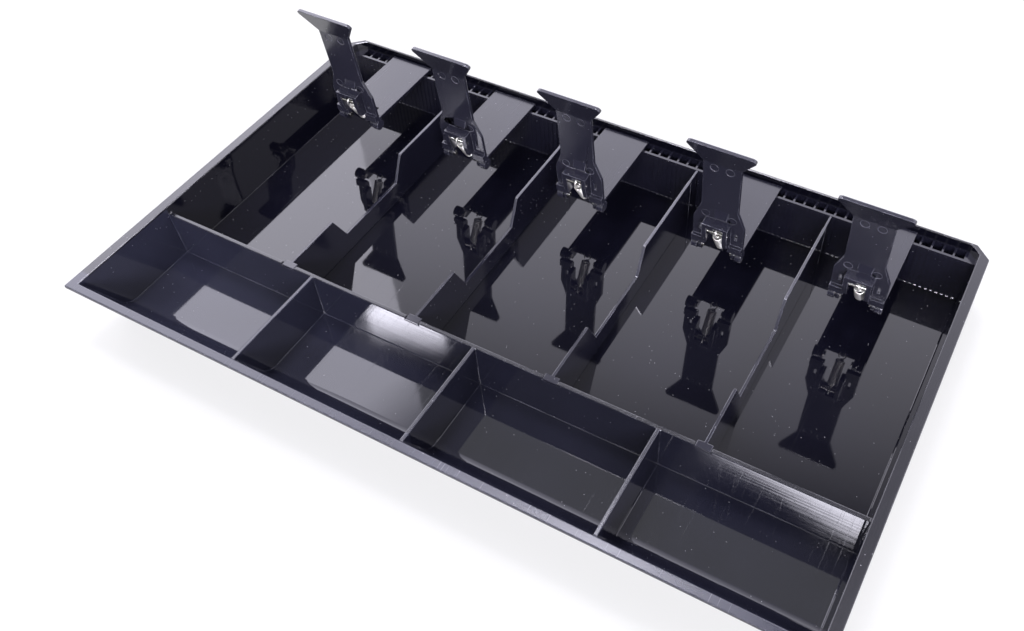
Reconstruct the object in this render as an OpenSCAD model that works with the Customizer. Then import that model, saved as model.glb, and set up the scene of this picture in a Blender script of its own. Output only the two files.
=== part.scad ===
// Cash drawer insert: a tray with five bill and four coin compartments and five sprung bill clips.
// Millimetres. Origin at the middle of the underside, X to the right, Y to the back, Z up.

/* [Tray] */
// Width of the tray over its rim
tray_w = 405; // [396:1:412]
// Depth of the tray over its rim, front to back
tray_d = 243; // [238:1:256]
// Height from the underside to the top of the rim
tray_h = 35; // [34:0.5:40]
// Thickness of the floor
floor_t = 2.3; // [1.8:0.1:2.8]
// Thickness of the side walls
wall_t = 2; // [1.6:0.1:2.4]
// How far the side walls lean in from the rim to the underside
wall_lean = 2.5; // [1:0.1:3]
// Width of the flat rim along the two sides
rim_side = 5.4; // [4.8:0.1:6.2]
// Width of the flat rim along the front
rim_front = 4.3; // [3.6:0.1:5]
// Thickness of the rim
rim_t = 2; // [1.5:0.1:2.5]
// Thickness of the back wall
back_t = 1.4; // [1.2:0.1:1.8]
// Size of the cut across the two back corners
corner_cut = 8; // [6:0.5:9]

/* [Compartments] */
// Clear depth of the coin compartments, front to back
coin_d = 62.5; // [58:0.5:66]
// How far the front wall slopes back from the rim down to the floor, so that coins can be swept out
scoop_d = 17; // [14:0.5:20]
// Radius between the sloping front wall and the floor
scoop_r = 10; // [6:0.5:14]
// Thickness of the long wall between bills and coins
long_wall_t = 2.2; // [1.8:0.1:2.6]
// Thickness of the walls between the coin compartments
coin_wall_t = 2; // [1.6:0.1:2.4]
// How far the inner walls stop below the rim
inner_drop = 4.6; // [4:0.1:5.4]
// Width of the notches in the long wall that the bill dividers hook into
notch_w = 8; // [6:0.5:10]
// Depth of those notches
notch_h = 1.6; // [1.2:0.1:2]

/* [Back rail] */
// Thickness of the rail in front of its cells
rail_t = 1.5; // [1.2:0.1:2]
// Clear size of the cells from front to back
cell_d = 6.2; // [5.6:0.1:6.8]
// Thickness of the webs between the cells
cell_web = 1; // [0.8:0.1:1.2]
// How far the upright ribs stand out in front of the rail
rib_out = 0.5; // [0.3:0.1:0.9]
// Width of the upright ribs
rib_w = 1.1; // [0.9:0.1:1.2]
// How far the ribs stop below the top of the rail
rib_drop = 1.2; // [0.8:0.1:2]

/* [Bill dividers] */
// Thickness of a divider
divider_t = 1.6; // [1.4:0.1:1.8]
// Thickness of the tongue at its back end
tongue_t = 1.2; // [1:0.1:1.4]
// Length of that tongue
tongue_len = 10; // [6:0.5:14]
// How far the cut-away middle lies below the rim
cut_drop = 20.8; // [16:0.2:24]
// Length of the high end in front of the cut-away
front_len = 35; // [28:0.5:42]
// Length of the low edge of the cut-away
low_len = 46.5; // [38:0.5:52]
// Length of each sloping edge of the cut-away
slope_len = 8; // [5:0.5:11]

/* [Clip brackets] */
// Width of the plank
plank_w = 28; // [27:0.5:30]
// Thickness of the plank
plank_t = 2; // [1.8:0.1:2.2]
// How far the top of the plank lies below the rim
plank_drop = 2.9; // [2.4:0.1:3.4]
// Distance from the back of the tray to the hinge line
hinge_back = 57; // [54:0.5:60]
// How far the hinge line lies below the rim
hinge_drop = 8.2; // [8:0.1:8.6]
// Length of the prongs that stand in the cells of the rail
prong_len = 12; // [8:0.5:16]

/* [Bill clips] */
// Thickness of the clip
clip_t = 2; // [1.8:0.1:2.2]
// Lean of the raised clips towards the front, in degrees
clip_lean = 6; // [5:0.5:7]
// How much further the rightmost clip leans, in degrees
last_clip_lean = 2.7; // [0:0.1:3]
// Height of the fork and neck above the hinge line
neck_top = 63.3; // [58:0.1:66]
// Width of the neck
neck_w = 20; // [18:0.5:22]
// Width over the forked foot
fork_w = 28; // [27:0.5:29]
// Length of the head
head_len = 14.6; // [12:0.2:16]
// Width of the head
head_w = 35.2; // [32:0.2:40]
// Bend of the head towards the front, in degrees
head_bend = 16.5; // [14:0.5:18]
// Radius of the steel hinge pins
hinge_pin_r = 1.4; // [1.2:0.05:1.5]
// Radius of the steel pin that the spring hooks on
spring_pin_r = 1; // [0.7:0.05:1.05]

/* [Clip springs] */
// Radius of the spring wire
wire_r = 0.35; // [0.3:0.01:0.36]
// Radius of the coil to the middle of the wire
coil_r = 2.5; // [2:0.05:2.6]
// Number of full turns in the coil
coil_turns = 12; // [9:1:12]

/* [Hidden] */
$fn = 48;
black = [0.07, 0.07, 0.08];
soft_black = [0.11, 0.11, 0.12];
steel = [0.8, 0.8, 0.82];

// The bill compartments and the clips follow the pitch of the ribs on the back rail.
comb_gaps = 136;
first_divider_gap = 28;
divider_step = 27;
divider_count = 4;
bracket_ribs = [14, 40, 66, 94, 120];
clip_count = len(bracket_ribs);
coin_count = 4;
comb_w = tray_w - 2 * rim_side;
comb_pitch = comb_w / comb_gaps;
function comb_x(gap) = gap * comb_pitch - comb_w / 2;
function divider_x(k) = comb_x(first_divider_gap + divider_step * (k - 1) + 0.5);
function clip_x(k) = comb_x(bracket_ribs[k - 1]);

// Main levels and lines of the tray
front_y = -tray_d / 2;
back_y = tray_d / 2;
inner_front_y = front_y + rim_front;
inner_back_y = back_y - back_t;
inner_top = tray_h - inner_drop;
long_wall_front = inner_front_y + coin_d;
long_wall_back = long_wall_front + long_wall_t;
past = 1;
function lean_at(z) = wall_lean * (tray_h - z) / tray_h;
function inner_x(z) = tray_w / 2 - rim_side - lean_at(z);

// The front wall slopes back to the floor, and its outside runs parallel at the thickness of the floor.
scoop_rise = tray_h - floor_t;
scoop_angle = atan2(scoop_rise, scoop_d);
scoop_start = inner_front_y + scoop_d + scoop_r * tan(scoop_angle / 2);
function scoop_y(z, extra) = inner_front_y + (tray_h - z) * scoop_d / scoop_rise - extra / sin(scoop_angle);

// The rail along the back: a thin web closes its cells towards the back wall.
rail_web = 0.6;
rail_top = tray_h - plank_drop - plank_t;
cell_back = inner_back_y - rail_web;
cell_front = cell_back - cell_d;
rail_y = cell_front - rail_t;
cell_floor = floor_t + 4;
rib_top = rail_top - rib_drop;

// The bill dividers hook into the notches of the long wall.
tab_gap = 0.2;
notch_floor = inner_top - notch_h;
divider_top = inner_top - 0.3;
divider_low = tray_h - cut_drop;

// The hinge line, with the places on the clip counted up from it along the clip and out to the front
hinge_y = back_y - hinge_back;
hinge_z = tray_h - hinge_drop;
pin_up = 18.4;
pin_out = 5.2;
function lean_of(k) = clip_lean + (k == clip_count ? last_clip_lean : 0);
function on_clip(up, out, lean) = [
    hinge_y - up * sin(lean) - out * cos(lean),
    hinge_z + up * cos(lean) - out * sin(lean)
];
function spring_top(k) = on_clip(pin_up, pin_out, lean_of(k));
spring_foot = [hinge_y + 4, hinge_z - 1.8];
spring_x = 1.2;

// Bracket: the slot in front leaves a tongue in the middle, and two lugs carry the hinge pins.
plank_front = hinge_y + 2;
plank_back = cell_back - 0.3;
plank_bottom = rail_top;
slot_half = 8.2;
slot_len = 5.6;
anchor_x0 = spring_x - 1;
anchor_x1 = spring_x + 1;
anchor_r = 2.2;
anchor_hole_r = 1.1;
lug_r = 2.9;
lug_t = 2;
lug_in = slot_half;
gusset_len = 10;
bury = 0.5;
prong_gap = 0.3;

// Clip: two knuckles outside the lugs, a fork with ribs that hold the spring pin, a boss above it
knuckle_r = 3.3;
knuckle_in = lug_in + lug_t + 0.4;
knuckle_end_wall = 0.6;
running_gap = 0.06;
pin_inner_end = lug_in - 1;
fork_half = fork_w / 2;
fork_in = 6.3;
leg_start = 5;
fork_top = 21.5;
neck_start = 32.4;
web_low = 15.5;
web_high = 19.5;
web_half = 3;
block_low = lug_r + 0.7;
block_high = block_low + 4.8;
block_out = 3;
window_gap = 5.4;
window_h = 2.2;
window_low = pin_up + window_gap;
window_high = window_low + window_h;
window_half = 3;
pin_half = 7;
pin_rib_t = 2.6;
mark_r = 2.2;
mark_depth = 0.25;

// Spring: the foot ring hangs in the anchor hole, the top loop leaves the pin room to slide.
ring_r = 1.9;
loop_r = 2.4;
wire_sides = 6;
turn_steps = 8;
step_angle = 360 / turn_steps;
pin_slide = 0.3;
function spring_way(k) = spring_top(k) - spring_foot;
loop_u = norm(spring_way(1)) + pin_slide;

function numbered(name, count) = [for (k = [1:count]) str(name, "_", k)];

// Helpers that extrude an outline along X, centred or between two places, or along Y
module along_x(x0, x1) {
    translate([x0, 0, 0]) rotate([90, 0, 90]) linear_extrude(x1 - x0) children();
}

module along_y(y0, y1) {
    translate([0, y1, 0]) rotate([90, 0, 0]) linear_extrude(y1 - y0) children();
}

module rod_x(x0, x1, place, r) {
    translate([x0, place[0], place[1]]) rotate([0, 90, 0]) cylinder(h = x1 - x0, r = r);
}

module both_sides() {
    children();
    mirror([1, 0, 0]) children();
}

// Plan of the tray with its two cut back corners
module plan(half_w, y0, y1, cut) {
    polygon([
        [-half_w, y0], [half_w, y0],
        [half_w, y1 - cut], [half_w - cut, y1],
        [-half_w + cut, y1], [-half_w, y1 - cut]
    ]);
}

// Cross section of the tray at a wall thickness outside the inner face
module side_section(extra, z0, z1) {
    low = inner_x(z0) + extra;
    high = inner_x(z1) + extra;
    polygon([[-low, z0], [low, z0], [high, z1], [-high, z1]]);
}

module front_section(extra, y_back, z1) {
    r = scoop_r + extra;
    centre = [scoop_start, floor_t + scoop_r];
    translate(centre) circle(r);
    polygon([
        centre - [0, r], [y_back, centre[1] - r], [y_back, z1], [scoop_y(z1, extra), z1],
        centre - r * [sin(scoop_angle), cos(scoop_angle)]
    ]);
}

// Room inside the outer walls, above the floor
module interior() {
    cut = corner_cut - rim_side + back_t + wall_t * (2 - sqrt(2));
    intersection() {
        along_y(front_y, back_y) side_section(0, floor_t, tray_h + past);
        along_x(-tray_w / 2, tray_w / 2) front_section(0, inner_back_y, tray_h + past);
        linear_extrude(tray_h + 2 * past) plan(inner_x(tray_h + past), front_y, inner_back_y, cut);
    }
}

module outer_block() {
    intersection() {
        along_y(front_y, back_y) side_section(wall_t, 0, tray_h);
        along_x(-tray_w / 2, tray_w / 2) front_section(floor_t, back_y, tray_h);
        linear_extrude(tray_h) plan(tray_w / 2, front_y, back_y, corner_cut);
    }
}

module inner_walls() {
    translate([-tray_w / 2, long_wall_front, 0]) cube([tray_w, long_wall_t, inner_top]);
    for (k = [1:coin_count - 1])
        translate([k * comb_w / coin_count - comb_w / 2 - coin_wall_t / 2, front_y, 0])
            cube([coin_wall_t, long_wall_front - front_y + past, inner_top]);
}

module tray_body() {
    color(black) difference() {
        union() {
            outer_block();
            translate([0, 0, tray_h - rim_t]) linear_extrude(rim_t)
                plan(tray_w / 2, front_y, back_y, corner_cut);
        }
        difference() {
            interior();
            inner_walls();
        }
        for (k = [1:divider_count])
            translate([divider_x(k) - notch_w / 2, long_wall_front - past, notch_floor])
                cube([notch_w, long_wall_t + 2 * past, notch_h + past]);
    }
}

// Front edge of the rail in plan, with a rib at every gap boundary
function rib_points(x) = [
    [x - rib_w / 2, rail_y], [x - rib_w / 2, rail_y - rib_out],
    [x + rib_w / 2, rail_y - rib_out], [x + rib_w / 2, rail_y]
];
function rail_outline(ribs) = concat(
    [[comb_w / 2, inner_back_y], [-comb_w / 2, inner_back_y], [-comb_w / 2, rail_y]],
    [if (ribs) for (i = [1:comb_gaps - 1]) each rib_points(comb_x(i))],
    [[comb_w / 2, rail_y]]
);

// One cell for every two gaps, left out at the two cut corners
cell_half = comb_pitch - cell_web / 2;
function cell_points(x) = [
    [x - cell_half, cell_front], [x + cell_half, cell_front],
    [x + cell_half, cell_back], [x - cell_half, cell_back]
];
cell_centres = [for (i = [3:2:comb_gaps - 3]) comb_x(i)];

module rail_plan(ribs, open) {
    cells = [if (open) for (x = cell_centres) each cell_points(x)];
    outline = rail_outline(ribs);
    rim_count = len(outline);
    polygon(
        concat(outline, cells),
        concat(
            [[for (i = [0:rim_count - 1]) i]],
            [for (c = [0:1:len(cells) / 4 - 1]) [for (j = [0:3]) rim_count + 4 * c + j]]
        )
    );
}

module comb_rail() {
    color(black) intersection() {
        union() {
            translate([0, 0, floor_t]) linear_extrude(cell_floor - floor_t) rail_plan(true, false);
            translate([0, 0, cell_floor]) linear_extrude(rib_top - cell_floor) rail_plan(true, true);
            translate([0, 0, rib_top]) linear_extrude(rail_top - rib_top) rail_plan(false, true);
        }
        interior();
    }
}

module divider_outline(y1) {
    cut_start = long_wall_back + front_len;
    cut_end = cut_start + 2 * slope_len + low_len;
    polygon([
        [long_wall_back, floor_t], [y1, floor_t], [y1, divider_top],
        [cut_end, divider_top], [cut_end - slope_len, divider_low],
        [cut_start + slope_len, divider_low], [cut_start, divider_top], [long_wall_back, divider_top]
    ]);
}

module bill_divider(k) {
    tab_half = notch_w / 2 - tab_gap;
    color(soft_black) translate([divider_x(k), 0, 0]) union() {
        along_x(-divider_t / 2, divider_t / 2) divider_outline(rail_y - tongue_len);
        along_x(-tongue_t / 2, tongue_t / 2) divider_outline(rail_y);
        translate([-tab_half, long_wall_front, notch_floor])
            cube([2 * tab_half, long_wall_t + divider_t, divider_top - notch_floor]);
    }
}

// Gusset that joins a hinge lug to the underside of the plank
module lug() {
    difference() {
        union() {
            rod_x(lug_in, lug_in + lug_t, [hinge_y, hinge_z], lug_r);
            along_x(lug_in, lug_in + lug_t) polygon([
                [hinge_y, hinge_z - lug_r], [plank_front + gusset_len, plank_bottom],
                [plank_front + gusset_len, plank_bottom + bury], [plank_front, plank_bottom + bury],
                [plank_front, plank_bottom], [hinge_y, hinge_z + lug_r]
            ]);
        }
        rod_x(lug_in - past, lug_in + lug_t + past, [hinge_y, hinge_z], hinge_pin_r);
    }
}

// Tongue that reaches down and forward from the plank to the hole for the spring
module spring_anchor() {
    root = [plank_front + slot_len + 2, plank_bottom];
    way = (root - spring_foot) / norm(root - spring_foot);
    across = anchor_r * [-way[1], way[0]];
    difference() {
        union() {
            rod_x(anchor_x0, anchor_x1, spring_foot, anchor_r);
            along_x(anchor_x0, anchor_x1) polygon([
                spring_foot + across, spring_foot - across,
                [root[0] + 2 * anchor_r, plank_bottom], [root[0] + 2 * anchor_r, plank_bottom + bury],
                [root[0] - 2, plank_bottom + bury], [root[0] - 2, plank_bottom]
            ]);
        }
        rod_x(anchor_x0 - past, anchor_x1 + past, spring_foot, anchor_hole_r);
    }
}

module clip_bracket(k) {
    prong_half = cell_half - prong_gap;
    color(soft_black) translate([clip_x(k), 0, 0]) union() {
        difference() {
            translate([-plank_w / 2, plank_front, plank_bottom])
                cube([plank_w, plank_back - plank_front, plank_t]);
            translate([-slot_half, plank_front - past, plank_bottom - past])
                cube([2 * slot_half, slot_len + past, plank_t + 2 * past]);
        }
        both_sides() {
            lug();
            translate([3 * comb_pitch - prong_half, cell_front + prong_gap, plank_bottom - prong_len])
                cube([2 * prong_half, cell_d - 2 * prong_gap, prong_len + bury]);
        }
        spring_anchor();
    }
}

module hinge_pins(k) {
    color(steel) translate([clip_x(k), 0, 0]) both_sides()
        rod_x(pin_inner_end, fork_half - knuckle_end_wall - running_gap, [hinge_y, hinge_z], hinge_pin_r);
}

// Outline of the clip seen from the front, across and up from the hinge line, with two rounded corners
module clip_outline() {
    corner_r = 2;
    corner = [head_w / 2 - corner_r, neck_top + head_len * cos(head_bend) - corner_r];
    neck_end = [neck_w / 2, neck_top];
    reach = corner - neck_end;
    slope = atan2(reach[1], reach[0]) - asin(corner_r / norm(reach));
    touch = neck_end + sqrt(reach * reach - corner_r * corner_r) * [cos(slope), sin(slope)];
    half = [
        [knuckle_in, 0], [fork_half, 0], [fork_half, fork_top], [neck_w / 2, neck_start],
        neck_end, touch, [corner[0], corner[1] + corner_r]
    ];
    opening = [
        [knuckle_in, leg_start], [fork_in, leg_start], [fork_in, web_low], [web_half, web_high]
    ];
    left = function(list) [for (i = [len(list) - 1:-1:0]) [-list[i][0], list[i][1]]];
    right_opening = [for (i = [len(opening) - 1:-1:0]) opening[i]];
    left_opening = [for (p = opening) [-p[0], p[1]]];
    both_sides() translate(corner) circle(corner_r);
    polygon(concat(half, left(half), left_opening, right_opening));
}

// Bent strip seen from the side, a little longer than the clip at both ends
module clip_strip() {
    half_t = clip_t / 2;
    mitre = half_t * tan(head_bend / 2);
    across = half_t * [cos(head_bend), sin(head_bend)];
    tip = [0, neck_top] + (head_len + past) * [-sin(head_bend), cos(head_bend)];
    polygon([
        [-half_t, -past], [half_t, -past], [half_t, neck_top + mitre], tip + across, tip - across,
        [-half_t, neck_top - mitre]
    ]);
}

// Ribs beside the opening that hold the ends of the spring pin
module pin_rib(x0, x1) {
    rib_low = 8;
    rib_front = pin_out + 1.4;
    along_x(x0, x1) polygon([
        [0, rib_low], [-clip_t / 2, rib_low], [-rib_front + 1, rib_low + 1], [-rib_front, pin_up - 3],
        [-rib_front, window_low], [0, window_low]
    ]);
}

// Bar across the top of the ribs, thicker on the left, and the wedge above the window
module boss() {
    bar_low = window_low - 1.6;
    bar_out = pin_out + 1.4;
    wedge_half = window_half + 0.6;
    wedge_high = 31;
    wedge_out = 2.4;
    wedge_lip = 0.6;
    along_x(-pin_half, pin_half) polygon([
        [0, bar_low], [-bar_out, bar_low], [-bar_out, window_low], [0, window_low]
    ]);
    along_x(-pin_half, spring_x - 1.8) polygon([
        [0, bar_low - 1.6], [-bar_out, bar_low - 1.6], [-bar_out, bar_low], [0, bar_low]
    ]);
    along_x(spring_x - wedge_half, spring_x + wedge_half) polygon([
        [0, window_high], [-wedge_out, window_high], [-wedge_out, window_high + wedge_lip],
        [-clip_t / 2, wedge_high], [0, wedge_high]
    ]);
}

// Thick block at the foot of a leg, just above the hinge
module foot_block() {
    along_x(fork_in, fork_half) polygon([
        [0, block_low], [-block_out, block_low], [-block_out, block_high], [0, block_high]
    ]);
}

module fork_and_head() {
    stop_out = 2.3;
    stop_low = 3.4;
    stop_h = 1.8;
    intersection() {
        along_y(-head_len, head_len) clip_outline();
        along_x(-head_w, head_w) clip_strip();
    }
    boss();
    pin_rib(-pin_half, -pin_half + pin_rib_t);
    pin_rib(pin_half - pin_rib_t, pin_half);
    both_sides() {
        rod_x(knuckle_in, fork_half, [0, 0], knuckle_r);
        foot_block();
        translate([knuckle_in, 0, stop_low]) cube([fork_half - knuckle_in, stop_out, stop_h]);
    }
}

// Slots through the legs, round marks in the front face, and the holes for the pins
module clip_cuts() {
    slot = [1.3, 2 * clip_t, 4.4];
    slot_x = 9.8;
    slot_low = 12.4;
    marks = [[4.1, 60.2], [7.3, 26.2]];
    face = -clip_t / 2;
    rod_x(-pin_half - past, pin_half + past, [-pin_out, pin_up], spring_pin_r);
    translate([spring_x - window_half, -clip_t, window_low])
        cube([2 * window_half, 2 * clip_t, window_high - window_low]);
    both_sides() {
        rod_x(knuckle_in - past, fork_half - knuckle_end_wall, [0, 0], hinge_pin_r + running_gap);
        translate([slot_x - slot[0] / 2, -slot[1] / 2, slot_low]) cube(slot);
        for (m = marks)
            translate([m[0], face + mark_depth, m[1]]) rotate([90, 0, 0])
                cylinder(h = mark_depth + past / 2, r = mark_r);
    }
}

module bill_clip(k) {
    color(soft_black) translate([clip_x(k), hinge_y, hinge_z]) rotate([lean_of(k), 0, 0]) difference() {
        fork_and_head();
        clip_cuts();
    }
}

module spring_pin(k) {
    color(steel) translate([clip_x(k), 0, 0]) rod_x(-pin_half, pin_half, spring_top(k), spring_pin_r);
}

// Middle line of the spring wire: across, out of the spring's plane and along from the anchor
coil_start = 2 * ring_r + 1.3;
coil_end = loop_u - loop_r - 1.3;
blend_steps = turn_steps - 1;
first_turn_angle = 180;
coil_steps = turn_steps * coil_turns;
last_turn_angle = first_turn_angle + step_angle * (2 * blend_steps + coil_steps);
function turn(r, angle, u) = [r * cos(angle), r * sin(angle), u];
function ring_point(a) = [ring_r * sin(a), 0, ring_r - ring_r * cos(a)];
function loop_point(a) = [
    loop_r * sin(a) * cos(last_turn_angle + 180), loop_r * sin(a) * sin(last_turn_angle + 180),
    loop_u - loop_r * cos(a)
];
function mix(a, b, t) = a + (b - a) * t;
wire_line = concat(
    [for (i = [-3:4]) ring_point(i * step_angle)],
    [for (i = [1:blend_steps]) turn(coil_r * i / blend_steps, first_turn_angle + i * step_angle,
        mix(2 * ring_r, coil_start, i / blend_steps))],
    [for (i = [1:coil_steps]) turn(coil_r, first_turn_angle + (blend_steps + i) * step_angle,
        mix(coil_start, coil_end, i / coil_steps))],
    [for (i = [1:blend_steps]) turn(coil_r * (1 - i / blend_steps),
        first_turn_angle + (blend_steps + coil_steps + i) * step_angle,
        mix(coil_end, loop_u - loop_r, i / blend_steps))],
    [for (i = [1:7]) loop_point(i * step_angle)]
);

// Rings of points around the middle line, carried along without twist
function unit(v) = v / norm(v);
function heading(line, i) = unit(line[min(i + 1, len(line) - 1)] - line[max(i - 1, 0)]);
function level_with(n, t) = unit(n - (n * t) * t);
function sideways(line, i, n) =
    i >= len(line) ? [] : concat([n], sideways(line, i + 1, level_with(n, heading(line, i + 1))));
function wire_rings(line) = let (
    start = heading(line, 0),
    sides = sideways(line, 0, level_with([0, 1, 0], start))
) [
    for (i = [0:len(line) - 1]) let (n = sides[i], b = cross(heading(line, i), n))
        for (j = [0:wire_sides - 1])
            line[i] + wire_r * (cos(j * 360 / wire_sides) * n + sin(j * 360 / wire_sides) * b)
];
function ring_index(i, j) = i * wire_sides + j % wire_sides;
function wire_faces(count) = concat(
    [for (i = [0:count - 2]) for (j = [0:wire_sides - 1]) each [
        [ring_index(i, j), ring_index(i + 1, j), ring_index(i + 1, j + 1)],
        [ring_index(i, j), ring_index(i + 1, j + 1), ring_index(i, j + 1)]
    ]],
    [for (j = [1:wire_sides - 2]) [0, j, j + 1]],
    [for (j = [1:wire_sides - 2]) [
        ring_index(count - 1, 0), ring_index(count - 1, j + 1), ring_index(count - 1, j)
    ]]
);

// Least gap between stretches of the wire that are more than half a turn apart
wire_gap = min([
    for (i = [0:len(wire_line) - 1]) for (j = [i + turn_steps / 2 + 1:1:len(wire_line) - 1])
        norm(wire_line[i] - wire_line[j])
]) - 2 * wire_r;
echo(spring_wire_gap = wire_gap);

module clip_spring(k) {
    tilt = atan2(spring_way(k)[1], spring_way(k)[0]);
    color(steel) translate([clip_x(k) + spring_x, spring_foot[0], spring_foot[1]]) rotate([tilt - 90, 0, 0])
        polyhedron(wire_rings(wire_line), wire_faces(len(wire_line)), convexity = 8);
}

tray_body();
comb_rail();
for (k = [1:divider_count]) bill_divider(k);
for (k = [1:clip_count]) {
    clip_bracket(k);
    hinge_pins(k);
    bill_clip(k);
    spring_pin(k);
    clip_spring(k);
}
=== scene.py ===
"""Looks of the cash drawer insert: finishes, fine springs, studio light and camera around the frame."""

import math

import bpy
from mathutils import Matrix, Vector


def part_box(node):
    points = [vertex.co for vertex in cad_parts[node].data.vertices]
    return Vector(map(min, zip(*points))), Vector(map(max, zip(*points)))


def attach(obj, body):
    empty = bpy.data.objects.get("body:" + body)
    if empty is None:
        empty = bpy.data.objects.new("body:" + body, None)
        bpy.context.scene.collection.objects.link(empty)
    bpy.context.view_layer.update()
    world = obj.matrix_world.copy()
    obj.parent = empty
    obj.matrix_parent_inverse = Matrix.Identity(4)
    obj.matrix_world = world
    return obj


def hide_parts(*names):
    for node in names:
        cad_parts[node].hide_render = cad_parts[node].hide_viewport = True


bl_info = {
    "name": "Cash drawer insert looks",
    "version": (1, 0, 0),
    "blender": (4, 5, 0),
    "location": "View3D > Sidebar > Cash insert",
    "description": "Finishes, clip springs, studio and camera for the cash drawer insert",
    "category": "Object",
}

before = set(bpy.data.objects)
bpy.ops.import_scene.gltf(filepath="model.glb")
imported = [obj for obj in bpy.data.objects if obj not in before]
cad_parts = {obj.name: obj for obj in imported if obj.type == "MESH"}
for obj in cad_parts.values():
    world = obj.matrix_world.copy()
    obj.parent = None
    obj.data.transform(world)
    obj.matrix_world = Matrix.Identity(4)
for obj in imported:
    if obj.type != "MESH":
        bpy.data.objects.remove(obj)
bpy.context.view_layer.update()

MM = 0.001
CLIPS = range(1, 6)
DIVIDERS = range(1, 5)

# Range of a soft noise that the patchy finishes make use of
CLOUD_SPAN = {"From Min": 0.3, "From Max": 0.7}


def linear(hex_colour):
    """Turns an sRGB hex value into a linear colour with full alpha."""
    channels = [int(hex_colour[i : i + 2], 16) / 255 for i in (1, 3, 5)]
    return [c / 12.92 if c <= 0.04045 else ((c + 0.055) / 1.055) ** 2.4 for c in channels] + [1.0]


def length_prop(name, description, millimetres):
    """A length that a user may change, given in millimetres and kept in metres."""
    return bpy.props.FloatProperty(
        name=name, description=description, default=millimetres * MM, min=0.0, precision=5, unit="LENGTH"
    )


def colour_prop(name, description, hex_colour):
    """A colour that a user may change, given as an sRGB hex value."""
    return bpy.props.FloatVectorProperty(
        name=name,
        description=description,
        default=linear(hex_colour),
        size=4,
        min=0.0,
        max=1.0,
        subtype="COLOR",
    )


def number_prop(name, description, value):
    """A plain number that a user may change."""
    return bpy.props.FloatProperty(name=name, description=description, default=value, min=0.0)


class MouldedSettings(bpy.types.PropertyGroup):
    """Edges and colours of the moulded pieces"""

    tray_edge: length_prop("Tray edges", "Rounding of the edges of the tray", 0.45)
    foot_radius: length_prop("Rail foot", "Radius of the fillets at the foot of the rail", 0.8)
    divider_edge: length_prop("Divider edges", "Rounding of the edges of the bill dividers", 0.3)
    bracket_edge: length_prop("Bracket edges", "Rounding of the edges of the clip brackets", 0.25)
    clip_edge: length_prop("Clip edges", "Rounding of the edges of the bill clips", 0.25)
    tray_colour: colour_prop("Tray colour", "Black of the gloss tray", "#06060c")
    satin_colour: colour_prop("Rail colour", "Black of the rail, dividers and brackets", "#0f0f17")
    clip_colour: colour_prop("Clip colour", "Black of the bill clips", "#1b1b23")
    haze_colour: colour_prop("Haze colour", "Plastic that coins have dulled", "#22232e")
    # Pale edge colour: partly rubbed plastic and partly a painted highlight where the edges catch the light
    scuff_and_highlight_colour: colour_prop("Scuff colour", "Rubbed plastic along the edges", "#6a6a72")
    dust_colour: colour_prop("Dust colour", "Specks of dust", "#a2a2a4")


class MetalSettings(bpy.types.PropertyGroup):
    """Sizes and colours of the steel pieces"""

    wire_radius: length_prop("Wire radius", "Radius of the spring wire", 0.35)
    coil_radius: length_prop("Coil radius", "Radius of the coil to the middle of the wire", 2.5)
    ring_radius: length_prop("Foot ring radius", "Radius of the ring in the bracket", 1.9)
    loop_radius: length_prop("Top loop radius", "Radius of the loop around the spring pin", 2.4)
    lead_in: length_prop("Lead-in", "Length of wire between the coil and each end loop", 1.3)
    pin_slide: length_prop("Pin slide", "How far the pin can slide in the top loop", 0.3)
    coil_turns: bpy.props.IntProperty(
        name="Coil turns", description="Number of full turns in the coil", default=16, min=3
    )
    pin_edge: length_prop("Pin edges", "Rounding of the ends of the pins", 0.12)
    steel_colour: colour_prop("Steel colour", "Bright plated steel of the springs", "#f1efe9")
    dull_colour: colour_prop("Dull steel colour", "Darker patches of the plating", "#c4c2bd")
    # The pins take a darker steel than the springs, so that they gleam less
    pin_colour: colour_prop("Pin colour", "Steel of the pins, darkened by use", "#7b7a77")


class StudioSettings(bpy.types.PropertyGroup):
    """Light, floor and camera"""

    floor_colour: colour_prop("Floor colour", "Pale floor under the tray", "#6d6d6b")
    fill: number_prop("Fill", "Soft light from all around", 0.3)
    cloth_colour: colour_prop("Panel colour", "Cool white of the light panels", "#f3f1ff")
    back_light: number_prop("Back light", "Brightness of the panel behind the tray", 4.4)
    left_light: number_prop("Left light", "Brightness of the panel to the left", 5.3)
    right_light: number_prop("Right light", "Brightness of the panel behind the tray on the right", 3.2)
    top_light: number_prop("Top light", "Brightness of the panel overhead", 52.0)
    front_light: number_prop("Front light", "Brightness of the low panel in front on the right", 46.0)
    lamp_light: number_prop("Lamp light", "Brightness of the two strip lamps in front", 200.0)
    floor_lift: number_prop("Floor lift", "How much the floor is lightened to the eye", 0.62)
    lens: number_prop("Lens", "Focal length of the camera in millimetres", 35.59)


def add_node(tree, kind, inputs=None, **settings):
    """Adds a node with its settings, and sets or links its inputs."""
    node = tree.nodes.new(kind)
    for key, value in settings.items():
        setattr(node, key, value)
    for key, value in (inputs or {}).items():
        if isinstance(value, bpy.types.NodeSocket):
            tree.links.new(value, node.inputs[key])
        else:
            node.inputs[key].default_value = value
    return node


def new_material(name):
    """An empty node material."""
    material = bpy.data.materials.new(name)
    material.use_nodes = True
    material.node_tree.nodes.clear()
    return material, material.node_tree


def cells_per_metre(millimetres):
    """Scale of a pattern whose features have this size."""
    return 1 / (millimetres * MM)


def where_all(tree, *tests):
    """One where every value passes its test, else nought. A test is a value, a comparison and a limit."""
    mask = 1.0
    for value, comparison, limit in tests:
        passed = add_node(tree, "ShaderNodeMath", {0: value, 1: limit}, operation=comparison)
        both = add_node(tree, "ShaderNodeMath", {0: passed.outputs[0], 1: mask}, operation="MULTIPLY")
        mask = both.outputs[0]
    return mask


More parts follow.
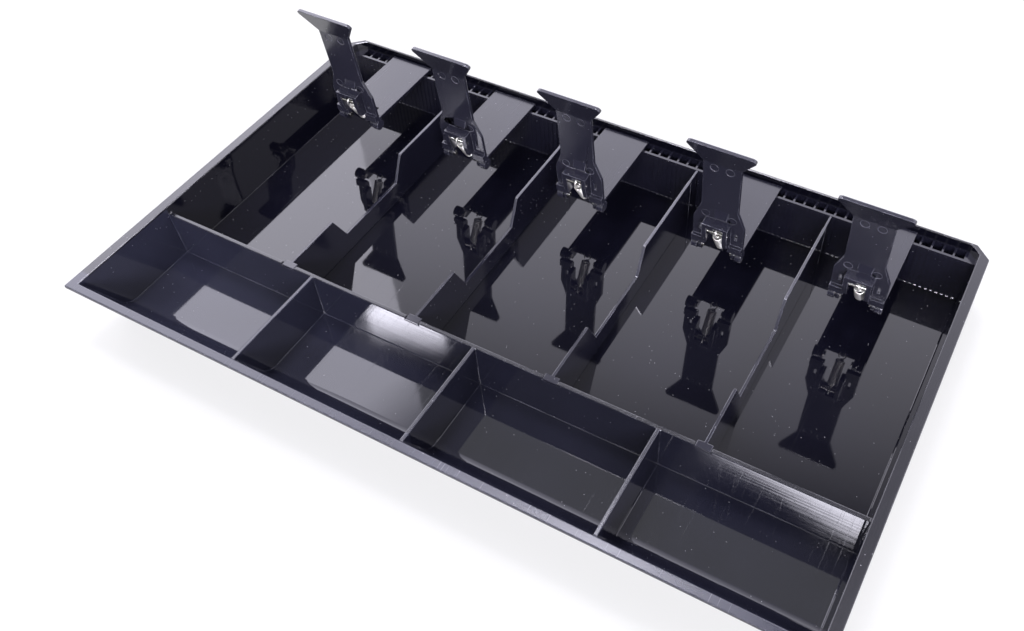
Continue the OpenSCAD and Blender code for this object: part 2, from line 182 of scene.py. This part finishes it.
def facing_up(tree):
    """How far a face looks up: one for a level face, nought for an upright wall."""
    normal = add_node(tree, "ShaderNodeNewGeometry").outputs["True Normal"]
    return add_node(tree, "ShaderNodeSeparateXYZ", {0: normal}).outputs["Z"]


def speck_mask(tree, place, share):
    """Small round specks of dust: one in this share of the cells of a random pattern."""
    spacing, size = 2.4, 0.2
    cells = add_node(tree, "ShaderNodeTexVoronoi", {"Vector": place, "Scale": cells_per_metre(spacing)})
    chance = add_node(tree, "ShaderNodeSeparateColor", {"Color": cells.outputs["Color"]})
    near = (cells.outputs["Distance"], "LESS_THAN", size / spacing)
    chosen = (chance.outputs["Red"], "LESS_THAN", share)
    return where_all(tree, near, chosen)


def scratch_mask(tree, place):
    """Hairline scratches: noise stretched along one direction and cut off high. Real hairlines are finer,
    and these are drawn as wide as they need to show."""
    width, length = 0.5, 45
    direction = (0.3, 0.2, 0.5)
    cut_start, cut_end = 0.66, 0.74
    scale = (cells_per_metre(width), cells_per_metre(length), cells_per_metre(length))
    stretched = add_node(
        tree, "ShaderNodeMapping", {"Vector": place, "Rotation": direction, "Scale": scale}
    )
    grain = add_node(
        tree, "ShaderNodeTexNoise", {"Vector": stretched.outputs[0], "Scale": 1.0, "Detail": 1.0}
    )
    lines = add_node(
        tree,
        "ShaderNodeMapRange",
        {"Value": grain.outputs["Fac"], "From Min": cut_start, "From Max": cut_end},
    )
    return lines.outputs[0]


def edge_mask(tree, place):
    """Edges, broken into patches, where handling has rubbed the plastic, lightened also by a painted
    highlight.
    """
    reach, patch_size = 0.6, 9
    level_face, sharp_edge = 0.99, 0.85
    patch_start, patch_end, least_rub = 0.42, 0.66, 0.1
    softened = add_node(tree, "ShaderNodeBevel", {"Radius": reach * MM}, samples=6)
    true_normal = add_node(tree, "ShaderNodeNewGeometry").outputs["True Normal"]
    level = add_node(
        tree, "ShaderNodeVectorMath", {0: softened.outputs[0], 1: true_normal}, operation="DOT_PRODUCT"
    )
    edge = add_node(
        tree,
        "ShaderNodeMapRange",
        {"Value": level.outputs["Value"], "From Min": level_face, "From Max": sharp_edge},
    )
    patches = add_node(
        tree, "ShaderNodeTexNoise", {"Vector": place, "Scale": cells_per_metre(patch_size), "Detail": 4.0}
    )
    broken = add_node(
        tree,
        "ShaderNodeMapRange",
        {
            "Value": patches.outputs["Fac"],
            "From Min": patch_start,
            "From Max": patch_end,
            "To Min": least_rub,
        },
    )
    both = add_node(
        tree, "ShaderNodeMath", {0: edge.outputs[0], 1: broken.outputs[0]}, operation="MULTIPLY"
    )
    return both.outputs[0]


def tray_wear(tree, place, cloud):
    """Where use has dulled the tray: a haze over the coin compartments, most on the left, and over the front
    rim, and a satin top on the rim and the walls. Gives the share of haze and the added roughness."""
    wall_front, inner_top, rim_top, front_rim = -54.6 * MM, 29 * MM, 34 * MM, -110 * MM
    most_used, least_used, least_haze, thin_patch = -130 * MM, 0.0, 0.4, 0.7
    level_face, top_roughness, haze_roughness = 0.9, 0.18, 0.025
    axes = add_node(tree, "ShaderNodeSeparateXYZ", {0: place}).outputs
    with_coins = where_all(tree, (axes["Y"], "LESS_THAN", wall_front), (axes["Z"], "LESS_THAN", rim_top))
    on_front_rim = where_all(tree, (axes["Y"], "LESS_THAN", front_rim))
    on_tops = where_all(
        tree, (axes["Z"], "GREATER_THAN", inner_top), (facing_up(tree), "GREATER_THAN", level_face)
    )
    use = add_node(
        tree,
        "ShaderNodeMapRange",
        {
            "Value": axes["X"],
            "From Min": most_used,
            "From Max": least_used,
            "To Min": 1.0,
            "To Max": least_haze,
        },
    )
    used = add_node(tree, "ShaderNodeMath", {0: with_coins, 1: use.outputs[0]}, operation="MULTIPLY")
    handled = add_node(tree, "ShaderNodeMath", {0: used.outputs[0], 1: on_front_rim}, operation="MAXIMUM")
    patchy = add_node(tree, "ShaderNodeMapRange", {**CLOUD_SPAN, "Value": cloud, "To Min": thin_patch})
    haze = add_node(
        tree, "ShaderNodeMath", {0: handled.outputs[0], 1: patchy.outputs[0]}, operation="MULTIPLY"
    ).outputs[0]
    satin = add_node(tree, "ShaderNodeMath", {0: on_tops, 1: top_roughness}, operation="MULTIPLY")
    added = add_node(
        tree, "ShaderNodeMath", {0: haze, 1: haze_roughness, 2: satin.outputs[0]}, operation="MULTIPLY_ADD"
    )
    return haze, added.outputs[0]


def divider_wear_and_sheen(tree, place, cloud):
    """Where bills have rubbed a divider, with a painted highlight for the sky that its upward faces mirror:
    a paler, satin line along the upper edge of its back part. Gives the share of the paler colour and the
    added roughness."""
    foot_top, back_step = 10 * MM, 37 * MM
    upright_face, least_share, most_share, top_roughness = 0.15, 0.04, 0.3, 0.15
    axes = add_node(tree, "ShaderNodeSeparateXYZ", {0: place}).outputs
    on_tops = where_all(
        tree,
        (axes["Z"], "GREATER_THAN", foot_top),
        (axes["Y"], "GREATER_THAN", back_step),
        (facing_up(tree), "GREATER_THAN", upright_face),
    )
    patchy = add_node(
        tree,
        "ShaderNodeMapRange",
        {**CLOUD_SPAN, "Value": cloud, "To Min": least_share, "To Max": most_share},
    )
    # Paler upward faces: partly rubbing and partly a painted highlight
    paler = add_node(tree, "ShaderNodeMath", {0: on_tops, 1: patchy.outputs[0]}, operation="MULTIPLY")
    added = add_node(tree, "ShaderNodeMath", {0: on_tops, 1: top_roughness}, operation="MULTIPLY")
    return paler.outputs[0], added.outputs[0]


def wall_lines(tree, place):
    """Fine level lines on upright walls, left by the tool that cut the mould. Real ones are finer, and these
    are drawn as coarse as they need to show."""
    run, pitch = 260, 1.6
    scale = (cells_per_metre(run), cells_per_metre(run), cells_per_metre(pitch))
    stretched = add_node(tree, "ShaderNodeMapping", {"Vector": place, "Scale": scale})
    lines = add_node(
        tree, "ShaderNodeTexNoise", {"Vector": stretched.outputs[0], "Scale": 1.0, "Detail": 2.0}
    )
    return lines.outputs["Fac"]


def moulded_abs(
    name, moulded, base, dulled, gloss, scuff_and_highlight, dust, grain_size, grain_depth, line_depth=0.0, wear=None
):
    """Black ABS from a mould. A polished mould gives a mirror-like skin with clear reflections, and a
    blasted one a satin skin. Handling leaves pale rubbed edges, which also carry a painted highlight, and
    hairlines, and dust settles in specks."""
    cloud_size, paler_by, dust_cover = 45, 1.5, 0.4
    hairline_roughness, scuff_roughness, dust_roughness = 0.08, 0.3, 0.5
    material, tree = new_material(name)
    place = add_node(tree, "ShaderNodeTexCoord").outputs["Object"]
    cloud = add_node(
        tree, "ShaderNodeTexNoise", {"Vector": place, "Scale": cells_per_metre(cloud_size), "Detail": 4.0}
    ).outputs["Fac"]
    dusty = speck_mask(tree, place, dust)
    scratched = scratch_mask(tree, place)
    haze, dull = wear(tree, place, cloud) if wear else (0.0, 0.0)
    # Pale edges: real rubbing plus a painted highlight along the edges
    scuffed_and_lit = add_node(
        tree, "ShaderNodeMath", {0: edge_mask(tree, place), 1: scuff_and_highlight}, operation="MULTIPLY"
    ).outputs[0]
    dusted = add_node(tree, "ShaderNodeMath", {0: dusty, 1: dust_cover}, operation="MULTIPLY").outputs[0]

    colour = base
    for share, layer in (
        (cloud, [paler_by * c for c in base[:3]] + [1.0]),
        (haze, dulled),
        (scuffed_and_lit, moulded.scuff_and_highlight_colour),
        (dusted, moulded.dust_colour),
    ):
        mixed = add_node(
            tree, "ShaderNodeMix", {"Factor": share, "A": colour, "B": layer}, data_type="RGBA"
        )
        colour = mixed.outputs["Result"]

    roughness = add_node(
        tree,
        "ShaderNodeMapRange",
        {**CLOUD_SPAN, "Value": cloud, "To Min": gloss[0], "To Max": gloss[1]},
    ).outputs[0]
    for share, added in (
        (dull, 1.0),
        (scratched, hairline_roughness),
        (scuffed_and_lit, scuff_roughness),
        (dusty, dust_roughness),
    ):
        rougher = add_node(
            tree,
            "ShaderNodeMath",
            {0: share, 1: added, 2: roughness},
            operation="MULTIPLY_ADD",
            use_clamp=True,
        )
        roughness = rougher.outputs[0]

    grain = add_node(
        tree, "ShaderNodeTexNoise", {"Vector": place, "Scale": cells_per_metre(grain_size), "Detail": 2.0}
    )
    lined = add_node(
        tree,
        "ShaderNodeBump",
        {"Height": wall_lines(tree, place), "Strength": 1.0, "Distance": line_depth * MM},
    )
    bump = add_node(
        tree,
        "ShaderNodeBump",
        {
            "Height": grain.outputs["Fac"],
            "Strength": 1.0,
            "Distance": grain_depth * MM,
            "Normal": lined.outputs[0],
        },
    )
    surface = add_node(
        tree,
        "ShaderNodeBsdfPrincipled",
        {"Base Color": colour, "Roughness": roughness, "IOR": 1.55, "Normal": bump.outputs[0]},
    )
    add_node(tree, "ShaderNodeOutputMaterial", {"Surface": surface.outputs[0]})
    return material


def plated_steel(name, bright, dull, polish, line_size, direction):
    """Bright plated steel, drawn or turned: mirror-like metal with fine lines around or along it, duller in
    patches. Real lines are finer, and these are drawn as coarse as they need to show."""
    patch_size, line_depth = 2.5, 0.004
    material, tree = new_material(name)
    place = add_node(tree, "ShaderNodeTexCoord").outputs["Object"]
    patches = add_node(
        tree, "ShaderNodeTexNoise", {"Vector": place, "Scale": cells_per_metre(patch_size), "Detail": 3.0}
    ).outputs["Fac"]
    lines = add_node(
        tree,
        "ShaderNodeTexWave",
        {"Vector": place, "Scale": cells_per_metre(line_size) / (2 * math.pi), "Distortion": 1.5},
        bands_direction=direction,
    ).outputs["Fac"]
    shade = add_node(
        tree, "ShaderNodeMix", {"Factor": patches, "A": bright, "B": dull}, data_type="RGBA"
    )
    roughness = add_node(
        tree, "ShaderNodeMapRange", {"Value": patches, "To Min": polish[0], "To Max": polish[1]}
    )
    bump = add_node(
        tree, "ShaderNodeBump", {"Height": lines, "Strength": 0.4, "Distance": line_depth * MM}
    )
    surface = add_node(
        tree,
        "ShaderNodeBsdfPrincipled",
        {
            "Base Color": shade.outputs["Result"],
            "Metallic": 1.0,
            "Roughness": roughness.outputs[0],
            "Normal": bump.outputs[0],
        },
    )
    add_node(tree, "ShaderNodeOutputMaterial", {"Surface": surface.outputs[0]})
    return material


def middle(node):
    """Middle of a frame node's box."""
    low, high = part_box(node)
    return (low + high) / 2


def dress_node(name, material):
    """Gives a node of the frame its material."""
    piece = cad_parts[name]
    piece.data.materials.clear()
    piece.data.materials.append(material)
    return piece


def finish_node(name, material, edge):
    """Gives a node of the frame its material and rounds its edges, so that they catch the light."""
    piece = dress_node(name, material)
    join = piece.modifiers.new("join_faces", "WELD")
    join.merge_threshold = 0.004 * MM
    flat = piece.modifiers.new("flat_faces", "DECIMATE")
    flat.decimate_type = "DISSOLVE"
    flat.angle_limit = math.radians(0.5)
    rounding = piece.modifiers.new("round_edges", "BEVEL")
    rounding.width = edge
    rounding.segments = 2
    rounding.limit_method = "ANGLE"
    rounding.angle_limit = math.radians(30)
    rounding.use_clamp_overlap = False
    shading = piece.modifiers.new("face_normals", "WEIGHTED_NORMAL")
    shading.keep_sharp = True


class FinishTray(bpy.types.Operator):
    """Gives the tray its gloss black skin"""

    bl_idname = "cash_insert.tray"
    bl_label = "Tray"

    def execute(self, context):
        moulded = context.scene.insert_moulded
        skin = moulded_abs(
            "abs_gloss_moulded_black",
            moulded,
            base=moulded.tray_colour,
            dulled=moulded.haze_colour,
            gloss=(0.02, 0.05),
            scuff_and_highlight=0.55,
            dust=0.22,
            grain_size=14,
            grain_depth=0.008,
            line_depth=0.008,
            wear=tray_wear,
        )
        finish_node("tray_body", skin, moulded.tray_edge)
        return {"FINISHED"}


def fillet_profile(wall, floor, radius):
    """Cross-section of a concave fillet between a wall and the floor, sunk a little into both."""
    sunk, steps = 0.05 * MM, 6
    profile = [(wall + sunk, floor - sunk), (wall + sunk, floor + radius)]
    for i in range(steps + 1):
        angle = math.pi / 2 * i / steps
        y = wall - radius + radius * math.cos(angle)
        z = floor + radius - radius * math.sin(angle)
        profile.append((y, z))
    return profile + [(wall - radius, floor - sunk)]


def foot_fillets(context, skin, radius):
    """Small fillets at the foot of the rail, one in each gap between two ribs that holds no divider."""
    # The ribs of the rail, as the frame has them
    gaps, rib_width, rib_out = 136, 1.1 * MM, 0.5 * MM
    low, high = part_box("comb_rail")
    pitch = (high.x - low.x) / gaps
    held = [middle(f"bill_divider_{k}").x for k in DIVIDERS]
    profile = fillet_profile(low.y + rib_out, low.z, radius)
    count = len(profile)
    points, faces = [], []
    for i in range(gaps):
        centre = low.x + (i + 0.5) * pitch
        if min(abs(centre - x) for x in held) < pitch / 2:
            continue
        first = len(points)
        for x in (centre - (pitch - rib_width) / 2, centre + (pitch - rib_width) / 2):
            points += [(x, y, z) for y, z in profile]
        faces.append(tuple(range(first, first + count)))
        faces.append(tuple(range(first + 2 * count - 1, first + count - 1, -1)))
        for j in range(count):
            k = (j + 1) % count
            faces.append((first + k, first + j, first + count + j, first + count + k))
    mesh = bpy.data.meshes.new("rail_foot_fillets")
    mesh.from_pydata(points, [], faces)
    mesh.shade_smooth()
    mesh.set_sharp_from_angle(angle=math.radians(40))
    mesh.materials.append(skin)
    fillets = bpy.data.objects.new("rail_foot_fillets", mesh)
    context.scene.collection.objects.link(fillets)
    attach(fillets, "base")


class FinishRail(bpy.types.Operator):
    """Gives the slotted rail its black skin, and the fillets at its foot"""

    bl_idname = "cash_insert.rail"
    bl_label = "Slotted rail"

    def execute(self, context):
        moulded = context.scene.insert_moulded
        skin = moulded_abs(
            "abs_moulded_rail_black",
            moulded,
            base=moulded.satin_colour,
            dulled=moulded.haze_colour,
            gloss=(0.1, 0.16),
            scuff_and_highlight=0.02,
            dust=0.2,
            grain_size=4,
            grain_depth=0.01,
        )
        dress_node("comb_rail", skin)
        foot_fillets(context, skin, moulded.foot_radius)
        return {"FINISHED"}


class FinishDividers(bpy.types.Operator):
    """Gives the four bill dividers their black skin"""

    bl_idname = "cash_insert.dividers"
    bl_label = "Bill dividers"

    def execute(self, context):
        moulded = context.scene.insert_moulded
        skin = moulded_abs(
            "abs_moulded_divider_black",
            moulded,
            base=moulded.satin_colour,
            # The dividers' pale tops and edges are partly rubbing and partly a painted highlight
            dulled=moulded.scuff_and_highlight_colour,
            gloss=(0.06, 0.12),
            scuff_and_highlight=1.0,
            dust=0.25,
            grain_size=10,
            grain_depth=0.008,
            wear=divider_wear_and_sheen,
        )
        for k in DIVIDERS:
            finish_node(f"bill_divider_{k}", skin, moulded.divider_edge)
        return {"FINISHED"}


class FinishBrackets(bpy.types.Operator):
    """Gives the five clip brackets their satin black skin"""

    bl_idname = "cash_insert.brackets"
    bl_label = "Clip brackets"

    def execute(self, context):
        moulded = context.scene.insert_moulded
        skin = moulded_abs(
            "abs_satin_bracket_black",
            moulded,
            base=moulded.satin_colour,
            dulled=moulded.haze_colour,
            gloss=(0.16, 0.24),
            scuff_and_highlight=0.4,
            dust=0.2,
            grain_size=0.9,
            grain_depth=0.006,
        )
        for k in CLIPS:
            finish_node(f"clip_bracket_{k}", skin, moulded.bracket_edge)
        return {"FINISHED"}


class FinishClips(bpy.types.Operator):
    """Gives the five bill clips their black skin"""

    bl_idname = "cash_insert.clips"
    bl_label = "Bill clips"

    def execute(self, context):
        moulded = context.scene.insert_moulded
        skin = moulded_abs(
            "abs_moulded_clip_black",
            moulded,
            base=moulded.clip_colour,
            dulled=moulded.haze_colour,
            gloss=(0.1, 0.18),
            scuff_and_highlight=0.9,
            dust=0.2,
            grain_size=0.9,
            grain_depth=0.004,
        )
        for k in CLIPS:
            finish_node(f"bill_clip_{k}", skin, moulded.clip_edge)
        return {"FINISHED"}


class FinishPins(bpy.types.Operator):
    """Gives the hinge pins and the spring pins their bright steel"""

    bl_idname = "cash_insert.pins"
    bl_label = "Pins"

    def execute(self, context):
        metal = context.scene.insert_metal
        steel = plated_steel(
            "steel_turned_plated",
            bright=metal.dull_colour,
            dull=metal.pin_colour,
            polish=(0.12, 0.22),
            line_size=0.3,
            direction="X",
        )
        for k in CLIPS:
            finish_node(f"hinge_pins_{k}", steel, metal.pin_edge)
            finish_node(f"spring_pin_{k}", steel, metal.pin_edge)
        return {"FINISHED"}


def spring_line(metal, pin_distance):
    """Middle line of the spring wire, from the foot ring to the top loop. Its points are given across the
    spring, out of its plane and along it."""
    step = math.radians(15)
    lead_turn = math.radians(315)
    ring, coil, loop = metal.ring_radius, metal.coil_radius, metal.loop_radius
    loop_centre = pin_distance + metal.pin_slide
    coil_start = 2 * ring + metal.lead_in
    coil_end = loop_centre - loop - metal.lead_in
    ring_steps = round(lead_turn / step)
    coil_steps = round(2 * math.pi / step) * metal.coil_turns
    start_angle = math.pi
    coil_angle = start_angle + lead_turn
    end_angle = coil_angle + coil_steps * step
    loop_angle = end_angle + lead_turn + math.pi

    def turn(radius, angle, along):
        return Vector((radius * math.cos(angle), radius * math.sin(angle), along))

    line = []
    for i in range(ring_steps + 1):
        angle = math.pi - lead_turn + i * step
        line.append(Vector((ring * math.sin(angle), 0, ring - ring * math.cos(angle))))
    for i in range(1, ring_steps + 1):
        share = i / ring_steps
        line.append(turn(coil * share, start_angle + i * step, 2 * ring + (coil_start - 2 * ring) * share))
    for i in range(1, coil_steps + 1):
        along = coil_start + (coil_end - coil_start) * i / coil_steps
        line.append(turn(coil, coil_angle + i * step, along))
    for i in range(1, ring_steps + 1):
        share = i / ring_steps
        along = coil_end + (loop_centre - loop - coil_end) * share
        line.append(turn(coil * (1 - share), end_angle + i * step, along))
    for i in range(1, ring_steps + 1):
        angle = i * step
        line.append(turn(loop * math.sin(angle), loop_angle, loop_centre - loop * math.cos(angle)))
    return line


def wire_mesh(name, line, radius):
    """A closed round wire along a line, carried along without twist."""
    sides = 12
    last = len(line) - 1
    headings = [(line[min(i + 1, last)] - line[max(i - 1, 0)]).normalized() for i in range(last + 1)]
    across = headings[0].orthogonal().normalized()
    points, faces = [], []
    for i, (centre, heading) in enumerate(zip(line, headings)):
        across = (across - across.dot(heading) * heading).normalized()
        beside = heading.cross(across)
        for j in range(sides):
            angle = 2 * math.pi * j / sides
            points.append(centre + radius * (math.cos(angle) * across + math.sin(angle) * beside))
        if i:
            low, high = (i - 1) * sides, i * sides
            for j in range(sides):
                k = (j + 1) % sides
                faces.append((low + j, low + k, high + k, high + j))
    faces.append(tuple(range(sides - 1, -1, -1)))
    faces.append(tuple(range(last * sides, last * sides + sides)))
    mesh = bpy.data.meshes.new(name)
    mesh.from_pydata(points, [], faces)
    mesh.shade_smooth()
    return mesh


class WindSprings(bpy.types.Operator):
    """Winds the five clip springs in fine round wire, from the bracket's hole to the spring pin"""

    bl_idname = "cash_insert.springs"
    bl_label = "Clip springs"

    def execute(self, context):
        metal = context.scene.insert_metal
        wire = plated_steel(
            "steel_spring_wire_drawn",
            bright=metal.steel_colour,
            dull=metal.dull_colour,
            polish=(0.34, 0.48),
            line_size=0.35,
            direction="Z",
        )
        # The hole in the bracket that holds the foot ring, seen from the hinge
        foot_from_hinge = Vector((1.2, 4.0, -1.8)) * MM
        first_way = middle("spring_pin_1") - middle("hinge_pins_1") - foot_from_hinge
        line = spring_line(metal, first_way.yz.length)
        for k in CLIPS:
            foot = middle(f"hinge_pins_{k}") + foot_from_hinge
            way = middle(f"spring_pin_{k}") - foot
            name = f"coiled_spring_{k}"
            spring = bpy.data.objects.new(name, wire_mesh(name, line, metal.wire_radius))
            tilt = math.atan2(way.z, way.y) - math.pi / 2
            spring.matrix_world = Matrix.Translation(foot) @ Matrix.Rotation(tilt, 4, "X")
            spring.data.materials.append(wire)
            context.scene.collection.objects.link(spring)
            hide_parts(f"clip_spring_{k}")
            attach(spring, f"spring_{k}")
        return {"FINISHED"}


def seen_by_eye(tree):
    """One for rays from the camera, reflections and glass, nought for light that falls on matt surfaces."""
    path = add_node(tree, "ShaderNodeLightPath")
    eye = add_node(
        tree,
        "ShaderNodeMath",
        {0: path.outputs["Is Camera Ray"], 1: path.outputs["Is Glossy Ray"]},
        operation="MAXIMUM",
    )
    glass = add_node(
        tree,
        "ShaderNodeMath",
        {0: eye.outputs[0], 1: path.outputs["Is Transmission Ray"]},
        operation="MAXIMUM",
    )
    return glass.outputs[0]


def stage_sheet(context, name, corners, material):
    """A flat sheet through four corners that belongs to the studio."""
    mesh = bpy.data.meshes.new(name)
    mesh.from_pydata(corners, [], [(0, 1, 2, 3)])
    mesh.materials.append(material)
    sheet = bpy.data.objects.new(name, mesh)
    context.scene.collection.objects.link(sheet)
    return sheet


def paper_floor(studio):
    """Matt white paper: it takes the tray's soft shadow, and is white to the eye where nothing shades it."""
    material, tree = new_material("paper_floor_white")
    matt = add_node(tree, "ShaderNodeBsdfDiffuse", {"Color": studio.floor_colour})
    lift = add_node(
        tree, "ShaderNodeMath", {0: seen_by_eye(tree), 1: studio.floor_lift}, operation="MULTIPLY"
    )
    glow = add_node(tree, "ShaderNodeEmission", {"Strength": lift.outputs[0]})
    surface = add_node(tree, "ShaderNodeAddShader", {0: matt.outputs[0], 1: glow.outputs[0]})
    add_node(tree, "ShaderNodeOutputMaterial", {"Surface": surface.outputs[0]})
    return material


def panel_cloth(name, colour, strength, bright_place, dark_place):
    """White cloth of a light panel that fades out from a bright place to a dark one."""
    material, tree = new_material(name)
    place = add_node(tree, "ShaderNodeTexCoord").outputs["Object"]
    way = dark_place - bright_place
    inward = add_node(tree, "ShaderNodeVectorMath", {0: place, 1: bright_place}, operation="SUBTRACT")
    share = add_node(
        tree,
        "ShaderNodeVectorMath",
        {0: inward.outputs[0], 1: way / way.length_squared},
        operation="DOT_PRODUCT",
    )
    fade = add_node(
        tree, "ShaderNodeMapRange", {"Value": share.outputs["Value"], "To Min": strength, "To Max": 0.0}
    )
    glow = add_node(tree, "ShaderNodeEmission", {"Color": colour, "Strength": fade.outputs[0]})
    add_node(tree, "ShaderNodeOutputMaterial", {"Surface": glow.outputs[0]})
    return material


def wall_panel(context, name, ends, heights, strength, bright, dark):
    """An upright light panel above a line on the floor, which fades from a bright place to a dark one."""
    (x1, y1), (x2, y2) = ends
    low, high = heights
    corners = [(x1, y1, low), (x2, y2, low), (x2, y2, high), (x1, y1, high)]
    colour = context.scene.insert_studio.cloth_colour
    cloth = panel_cloth(f"{name}_cloth", colour, strength, Vector(bright), Vector(dark))
    stage_sheet(context, name, corners, cloth).visible_camera = False


def on_sky(azimuth, elevation, centre):
    """Place at the studio's reach from a centre. Azimuth is counted from the back towards the right, and
    both angles are in degrees."""
    reach = 3.0
    turn, rise = math.radians(azimuth), math.radians(elevation)
    level = math.cos(rise)
    return Vector(centre) + reach * Vector((math.sin(turn) * level, math.cos(turn) * level, math.sin(rise)))


def sky_panel(context, name, azimuths, elevations, strength, bright, dark, centre=(0, 0, 0)):
    """A light panel between two azimuths and two elevations, fading from a bright to a dark direction."""
    colour = context.scene.insert_studio.cloth_colour
    cloth = panel_cloth(f"{name}_cloth", colour, strength, on_sky(*bright, centre), on_sky(*dark, centre))
    first, last = azimuths
    low, high = elevations
    corners = [on_sky(a, e, centre) for a, e in ((first, low), (last, low), (last, high), (first, high))]
    stage_sheet(context, name, corners, cloth).visible_camera = False


class BuildStage(bpy.types.Operator):
    """Sets up the pale floor, the soft light and the camera"""

    bl_idname = "cash_insert.stage"
    bl_label = "Studio and camera"

    def execute(self, context):
        studio = context.scene.insert_studio
        reach = 12.0
        ground = [(-reach, -reach, 0), (reach, -reach, 0), (reach, reach, 0), (-reach, reach, 0)]
        stage_sheet(context, "floor", ground, paper_floor(studio))
        self.light_panels(context, studio)
        self.strip_lamps(context, studio)
        self.white_world(context, studio)
        self.photo_camera(context, studio)
        context.scene.view_settings.view_transform = "Standard"
        return {"FINISHED"}

    def light_panels(self, context, studio):
        """The large soft panels, which the floor of the tray and the brackets mirror."""
        back_left = (-3.1, 3.0)
        wall_panel(
            context,
            "back_panel",
            ends=(back_left, (1.1, 3.0)),
            heights=(0.4, 5.2),
            strength=studio.back_light,
            bright=(-1.2, 3, 1.6),
            dark=(0.19, 3, 5.26),
        )
        wall_panel(
            context,
            "left_panel",
            ends=((-4.0, -0.5), back_left),
            heights=(0.9, 6.4),
            strength=studio.left_light,
            bright=(-3, 0, 5.4),
            dark=(-3, 0, 6.4),
        )
        sky_panel(
            context,
            "right_panel",
            azimuths=(12, 105),
            elevations=(6, 76),
            strength=studio.right_light,
            bright=(60, 40),
            dark=(60, 90),
        )
        sky_panel(
            context,
            "top_panel",
            azimuths=(290, 338),
            elevations=(66, 80),
            strength=studio.top_light,
            bright=(315, 74),
            dark=(315, 95),
        )
        sky_panel(
            context,
            "front_panel",
            azimuths=(125, 178),
            elevations=(24, 34),
            strength=studio.front_light,
            bright=(150, 29),
            dark=(150, 60),
        )

    def strip_lamps(self, context, studio):
        """The two narrow lamps, which the long wall mirrors in two of the coin compartments."""
        sky_panel(
            context,
            "left_strip",
            azimuths=(220.5, 227.6),
            elevations=(47, 53),
            strength=studio.lamp_light,
            bright=(227, 47.5),
            dark=(228.25, 49.1),
            centre=(-0.07, -0.056, 0.02),
        )
        sky_panel(
            context,
            "right_strip",
            azimuths=(178, 198),
            elevations=(55, 60),
            strength=studio.lamp_light,
            bright=(180, 57.9),
            dark=(180.4, 59.1),
            centre=(0.14, -0.056, 0.02),
        )

    def white_world(self, context, studio):
        """A world that is white to the eye and gives a soft fill light."""
        world = bpy.data.worlds.new("white_studio")
        world.use_nodes = True
        tree = world.node_tree
        tree.nodes.clear()
        strength = add_node(
            tree, "ShaderNodeMapRange", {"Value": seen_by_eye(tree), "To Min": studio.fill, "To Max": 1.0}
        )
        sky = add_node(tree, "ShaderNodeBackground", {"Strength": strength.outputs[0]})
        add_node(tree, "ShaderNodeOutputWorld", {"Surface": sky.outputs[0]})
        context.scene.world = world

    def photo_camera(self, context, studio):
        """The camera at the photograph's place, in millimetres, with its turn in degrees."""
        place = (195.46, -292.6, 411.07)
        turn = (40.653, 0.997, 28.908)
        data = bpy.data.cameras.new("photo_camera")
        data.sensor_width = 36
        data.lens = studio.lens
        data.shift_x, data.shift_y = -0.0628, -0.0068
        data.clip_start = 0.01
        camera = bpy.data.objects.new("photo_camera", data)
        camera.location = Vector(place) * MM
        camera.rotation_euler = [math.radians(angle) for angle in turn]
        context.scene.collection.objects.link(camera)
        context.scene.camera = camera


SETTINGS = {
    "insert_moulded": MouldedSettings,
    "insert_metal": MetalSettings,
    "insert_studio": StudioSettings,
}
STEPS = (
    FinishTray,
    FinishRail,
    FinishDividers,
    FinishBrackets,
    FinishClips,
    FinishPins,
    WindSprings,
    BuildStage,
)


class InsertPanel(bpy.types.Panel):
    """Lists the steps that dress the cash drawer insert"""

    bl_idname = "VIEW3D_PT_cash_insert"
    bl_label = "Cash insert"
    bl_space_type = "VIEW_3D"
    bl_region_type = "UI"
    bl_category = "Cash insert"

    def draw(self, context):
        for step in STEPS:
            self.layout.operator(step.bl_idname)
        for group, settings in SETTINGS.items():
            for name in settings.__annotations__:
                self.layout.prop(getattr(context.scene, group), name)


CLASSES = (*SETTINGS.values(), *STEPS, InsertPanel)


def register():
    for cls in CLASSES:
        bpy.utils.register_class(cls)
    for group, settings in SETTINGS.items():
        setattr(bpy.types.Scene, group, bpy.props.PointerProperty(type=settings))


def unregister():
    for group in SETTINGS:
        delattr(bpy.types.Scene, group)
    for cls in reversed(CLASSES):
        bpy.utils.unregister_class(cls)


def main():
    register()
    bpy.ops.cash_insert.tray()
    bpy.ops.cash_insert.rail()
    bpy.ops.cash_insert.dividers()
    bpy.ops.cash_insert.brackets()
    bpy.ops.cash_insert.clips()
    bpy.ops.cash_insert.pins()
    bpy.ops.cash_insert.springs()
    bpy.ops.cash_insert.stage()


if __name__ == "__main__":
    main()
